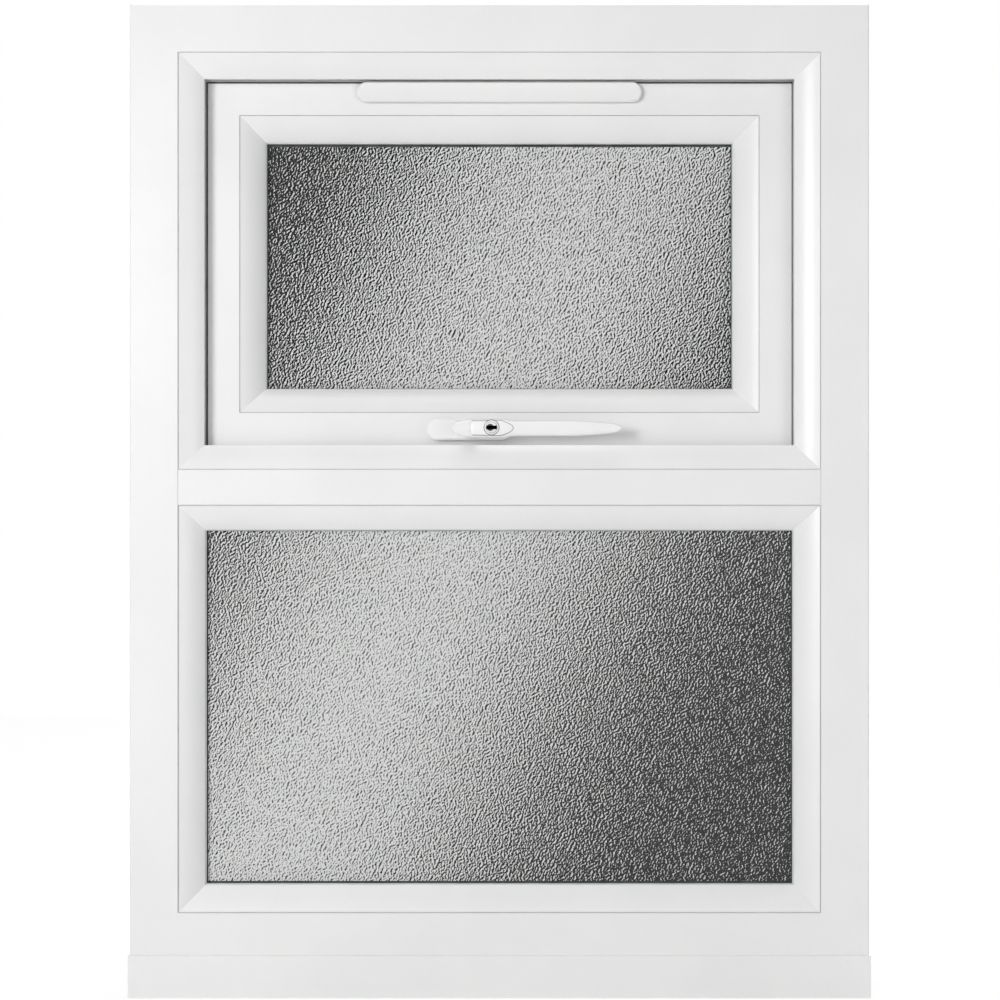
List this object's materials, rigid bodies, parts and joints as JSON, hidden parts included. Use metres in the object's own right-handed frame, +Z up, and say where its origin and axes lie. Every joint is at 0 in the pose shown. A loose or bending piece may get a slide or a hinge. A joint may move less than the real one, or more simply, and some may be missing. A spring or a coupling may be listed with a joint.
{
  "type": "top-hung window",
  "caption": "White framed window: a top-hung sash with lever handle and trickle vent over a fixed obscure-glass light, standing on a sill.",
  "frame": {"origin": "middle of the sill's underside, in line with the middle of the frame's depth", "axes": "+Z up, +X to the right seen from the room, +Y out of the room"},
  "size_m": [0.6124, 0.1587, 0.82],
  "materials": {
    "white_upvc": "smooth extruded satin-gloss white",
    "obscure_glass": "rolled obscure pattern",
    "clear_glass": "clear float glass",
    "black_rubber": "matt black gasket",
    "galvanised_steel": "zinc coated",
    "white_painted_metal": "white powder coat",
    "spacer_aluminium": "mill finish",
    "packer_plastic": "moulded",
    "key_chrome": "satin nickel"
  },
  "bodies": {
    "frame": {"frame_head": "white_upvc", "frame_left_jamb": "white_upvc", "frame_right_jamb": "white_upvc", "frame_bottom_rail": "white_upvc", "transom": "white_upvc", "frame_steel_bars": "galvanised_steel", "sill": "white_upvc", "sill_end_caps": "white_upvc", "fixed_inner_pane": "obscure_glass", "fixed_outer_pane": "clear_glass", "fixed_spacer_bar": "spacer_aluminium", "fixed_glazing_packers": "packer_plastic", "fixed_bead_top": "white_upvc", "fixed_bead_bottom": "white_upvc", "fixed_bead_left": "white_upvc", "fixed_bead_right": "white_upvc", "fixed_outer_stops": "white_upvc", "fixed_gaskets": "black_rubber", "opener_stops": "white_upvc", "opener_stop_seal": "black_rubber", "hinge_frame_leaves": "white_painted_metal", "hinge_pins": "galvanised_steel", "stay_brackets": "galvanised_steel", "lock_keeps": "galvanised_steel", "drain_caps": "white_upvc"},
    "sash": {"sash_top_rail": "white_upvc", "sash_bottom_rail": "white_upvc", "sash_left_stile": "white_upvc", "sash_right_stile": "white_upvc", "sash_steel_bars": "galvanised_steel", "sash_inner_pane": "obscure_glass", "sash_outer_pane": "clear_glass", "sash_spacer_bar": "spacer_aluminium", "sash_glazing_packers": "packer_plastic", "sash_bead_top": "white_upvc", "sash_bead_bottom": "white_upvc", "sash_bead_left": "white_upvc", "sash_bead_right": "white_upvc", "sash_gaskets": "black_rubber", "sash_flange_seal": "black_rubber", "hinge_sash_leaves": "white_painted_metal", "stay_tracks": "galvanised_steel", "lock_faceplate": "galvanised_steel", "lock_gearbox": "galvanised_steel", "handle_base": "white_painted_metal", "handle_base_cover": "white_painted_metal", "handle_screws": "galvanised_steel", "vent_back_plate": "white_upvc", "vent_outer_canopy": "white_upvc"},
    "left_arm": {"left_stay_arm": "galvanised_steel"},
    "right_arm": {"right_stay_arm": "galvanised_steel"},
    "left_slide": {"left_stay_slide_block": "galvanised_steel"},
    "right_slide": {"right_stay_slide_block": "galvanised_steel"},
    "drive_rail": {"lock_drive_rail": "galvanised_steel"},
    "lever": {"handle_lever": "white_painted_metal", "lock_follower": "galvanised_steel", "key_cylinder": "key_chrome"},
    "key_plug": {"key_plug": "key_chrome"},
    "flap": {"vent_flap": "white_upvc"}
  },
  "joints": [
    {"name": "sash_hinge", "type": "hinge", "parent": "frame", "child": "sash", "pos_m": [0, 0.0389, 0.7895], "axis": [1, 0, 0], "range_deg": [0, 45]},
    {"name": "left_arm_pivot", "type": "hinge", "parent": "frame", "child": "left_arm", "pos_m": [-0.25805, 0.0309, 0.64], "axis": [1, 0, 0], "range_deg": [0, 90]},
    {"name": "right_arm_pivot", "type": "hinge", "parent": "frame", "child": "right_arm", "pos_m": [0.25805, 0.0309, 0.64], "axis": [1, 0, 0], "range_deg": [0, 90]},
    {"name": "left_slide_pivot", "type": "hinge", "parent": "left_arm", "child": "left_slide", "pos_m": [-0.25805, 0.0229, 0.4905], "axis": [1, 0, 0], "range_deg": [-45, 0]},
    {"name": "right_slide_pivot", "type": "hinge", "parent": "right_arm", "child": "right_slide", "pos_m": [0.25805, 0.0229, 0.4905], "axis": [1, 0, 0], "range_deg": [-45, 0]},
    {"name": "handle_turn", "type": "hinge", "parent": "sash", "child": "lever", "pos_m": [-0.0254, -0.012, 0.4695], "axis": [0, -1, 0], "range_deg": [0, 90]},
    {"name": "drive_rail_slide", "type": "slide", "parent": "sash", "child": "drive_rail", "axis": [1, 0, 0], "range_m": [-0.018, 0]},
    {"name": "key_turn", "type": "hinge", "parent": "lever", "child": "key_plug", "pos_m": [-0.0064, -0.046, 0.47], "axis": [0, -1, 0], "range_deg": [0, 90]},
    {"name": "flap_tilt", "type": "hinge", "parent": "sash", "child": "flap", "pos_m": [0, -0.0151, 0.7456], "axis": [1, 0, 0], "range_deg": [0, 25]}
  ],
  "couplings": [
    {"joint": "left_arm_pivot", "follows": "sash_hinge", "ratio": 2},
    {"joint": "right_arm_pivot", "follows": "sash_hinge", "ratio": 2},
    {"joint": "left_slide_pivot", "follows": "sash_hinge", "ratio": -1},
    {"joint": "right_slide_pivot", "follows": "sash_hinge", "ratio": -1},
    {"joint": "drive_rail_slide", "follows": "handle_turn", "m_per_rad": -0.011459}
  ]
}
